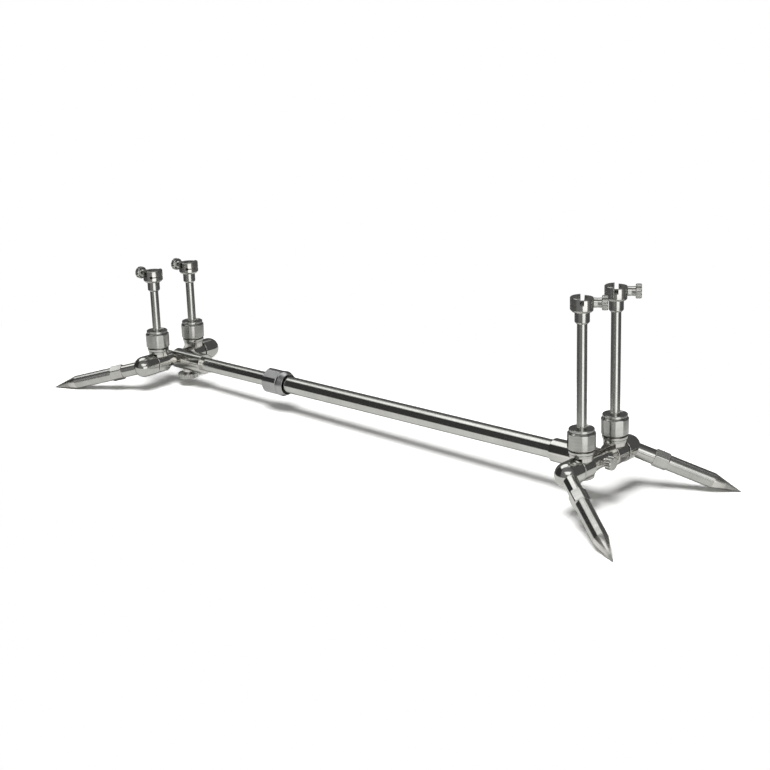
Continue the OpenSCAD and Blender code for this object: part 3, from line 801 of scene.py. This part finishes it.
# White paper floor: washed out for the camera but for the shadow, white away from the pod,
# and seen in the steel only close by, as a small table would be
floor_material, tree = blank_material("white paper floor")
path = node(tree, "ShaderNodeLightPath").outputs
place = node(tree, "ShaderNodeTexCoord")
spot = node(tree, "ShaderNodeMapping", {"Vector": place.outputs["Object"],
                                        "Scale": (1 / SHADOW_FLOOR[0], 1 / SHADOW_FLOOR[1], 1)})
reach = node(tree, "ShaderNodeVectorMath", {0: spot.outputs["Vector"]}, operation="LENGTH").outputs["Value"]
paper = node(tree, "ShaderNodeBsdfDiffuse", {"Color": linear("#E9E9E7")})
extra = reckoned(tree, "MULTIPLY", path["Is Camera Ray"], 0.7)
washed = node(tree, "ShaderNodeBsdfDiffuse", {"Color": extra})
both = node(tree, "ShaderNodeAddShader", {0: paper.outputs["BSDF"], 1: washed.outputs["BSDF"]})
white = node(tree, "ShaderNodeEmission", {"Color": linear("#FFFFFF"), "Strength": 1.0})
far_off = reckoned(tree, "MULTIPLY", faded(tree, reach, 1.0, 1.35), path["Is Camera Ray"])
ground = node(tree, "ShaderNodeMixShader", {0: far_off, 1: both.outputs["Shader"],
                                            2: white.outputs["Emission"]})
mirrored = reckoned(tree, "MAXIMUM", path["Is Glossy Ray"], path["Is Transmission Ray"])
past_table = reckoned(tree, "MULTIPLY", faded(tree, path["Ray Length"], *MIRRORED_FLOOR), mirrored)
gone = node(tree, "ShaderNodeBsdfTransparent")
table = node(tree, "ShaderNodeMixShader", {0: past_table, 1: ground.outputs["Shader"],
                                           2: gone.outputs["BSDF"]})
node(tree, "ShaderNodeOutputMaterial", {"Surface": table.outputs["Shader"]})
floor_mesh.materials.append(floor_material)

lamp_data = bpy.data.lights.new("overhead lamp", "AREA")
lamp_data.shape = "DISK"
lamp_data.size = LAMP_SIZE
lamp_data.energy = LAMP_WATTS
lamp = bpy.data.objects.new("overhead lamp", lamp_data)
lamp.matrix_world = Matrix.Translation(LAMP_AT) @ LAMP_AT.to_track_quat("Z", "Y").to_matrix().to_4x4()
lamp.visible_glossy = False
bpy.context.scene.collection.objects.link(lamp)

# Studio room, white to the camera and an even grey for soft light. In reflections it is a grey room with a
# white panel overhead, one above the camera, one to the right of the camera and a black one to its left
room = bpy.data.worlds.new("studio room")
room.use_nodes = True
tree = room.node_tree
tree.nodes.clear()
path = node(tree, "ShaderNodeLightPath").outputs
look = node(tree, "ShaderNodeTexCoord").outputs["Generated"]
way = node(tree, "ShaderNodeSeparateXYZ", {"Vector": look}).outputs
across = reckoned(tree, "DIVIDE", along(tree, look, OVERHEAD_TURN), way["Z"])
away = reckoned(tree, "DIVIDE", along(tree, look, OVERHEAD_TURN + math.pi / 2), way["Z"])
panel = reckoned(tree, "MULTIPLY", between(tree, across, *OVERHEAD_ACROSS),
                 between(tree, away, *OVERHEAD_AWAY))
front_panel = reckoned(tree, "MULTIPLY", between(tree, across, *FRONT_ACROSS),
                       between(tree, away, *FRONT_AWAY))
panels = reckoned(tree, "MAXIMUM", panel, front_panel)
overhead = reckoned(tree, "MULTIPLY", panels, faded(tree, way["Z"], 0.1, 0.2))
flat_way = node(tree, "ShaderNodeVectorMath", {0: look, 1: (1, 1, 0)}, operation="MULTIPLY")
heading = node(tree, "ShaderNodeVectorMath", {0: flat_way.outputs["Vector"]}, operation="NORMALIZE")
facing = along(tree, heading.outputs["Vector"], SIDE_PANEL_AZIMUTH)
side_panel = reckoned(tree, "MULTIPLY", faded(tree, facing, 0.915, 0.95), faded(tree, way["Z"], 0.3, 0.2))
white_panels = reckoned(tree, "MAXIMUM", overhead, side_panel)
left_front = reckoned(tree, "MULTIPLY", faded(tree, way["X"], -0.2, -0.5), faded(tree, way["Y"], 0.1, 0.0))
black_panel = reckoned(tree, "MULTIPLY", left_front, faded(tree, way["Z"], -0.42, -0.18))
plain_walls = node(tree, "ShaderNodeMix", {"Factor": faded(tree, way["Y"], -0.2, 0.5), "A": linear("#808080"),
                                           "B": linear("#5C5C5C")}, data_type="RGBA").outputs["Result"]
grey_walls = node(tree, "ShaderNodeMix", {"Factor": black_panel, "A": plain_walls, "B": linear("#3C3C3C")},
                  data_type="RGBA").outputs["Result"]
studio = node(tree, "ShaderNodeMix", {"Factor": white_panels, "A": grey_walls, "B": linear("#FFFFFF")},
              data_type="RGBA").outputs["Result"]
mirrored = reckoned(tree, "MAXIMUM", path["Is Glossy Ray"], path["Is Transmission Ray"])
soft = node(tree, "ShaderNodeMix", {"Factor": mirrored, "A": linear("#606060"), "B": studio},
            data_type="RGBA").outputs["Result"]
shown_room = node(tree, "ShaderNodeMix", {"Factor": path["Is Camera Ray"], "A": soft,
                                          "B": linear("#FFFFFF")}, data_type="RGBA").outputs["Result"]
shine = reckoned(tree, "MULTIPLY", reckoned(tree, "MULTIPLY", white_panels, mirrored), PANEL_EXTRA)
shining = reckoned(tree, "ADD", shine, 1.0)
light = node(tree, "ShaderNodeBackground", {"Color": shown_room, "Strength": shining})
node(tree, "ShaderNodeOutputWorld", {"Surface": light.outputs["Background"]})
bpy.context.scene.world = room

camera_data = bpy.data.cameras.new("camera")
camera_data.sensor_width = 36
camera_data.lens = CAMERA_LENS
camera = bpy.data.objects.new("camera", camera_data)
camera.matrix_world = CAMERA_PLACE
bpy.context.scene.collection.objects.link(camera)
bpy.context.scene.camera = camera
bpy.context.scene.view_settings.view_transform = "Standard"
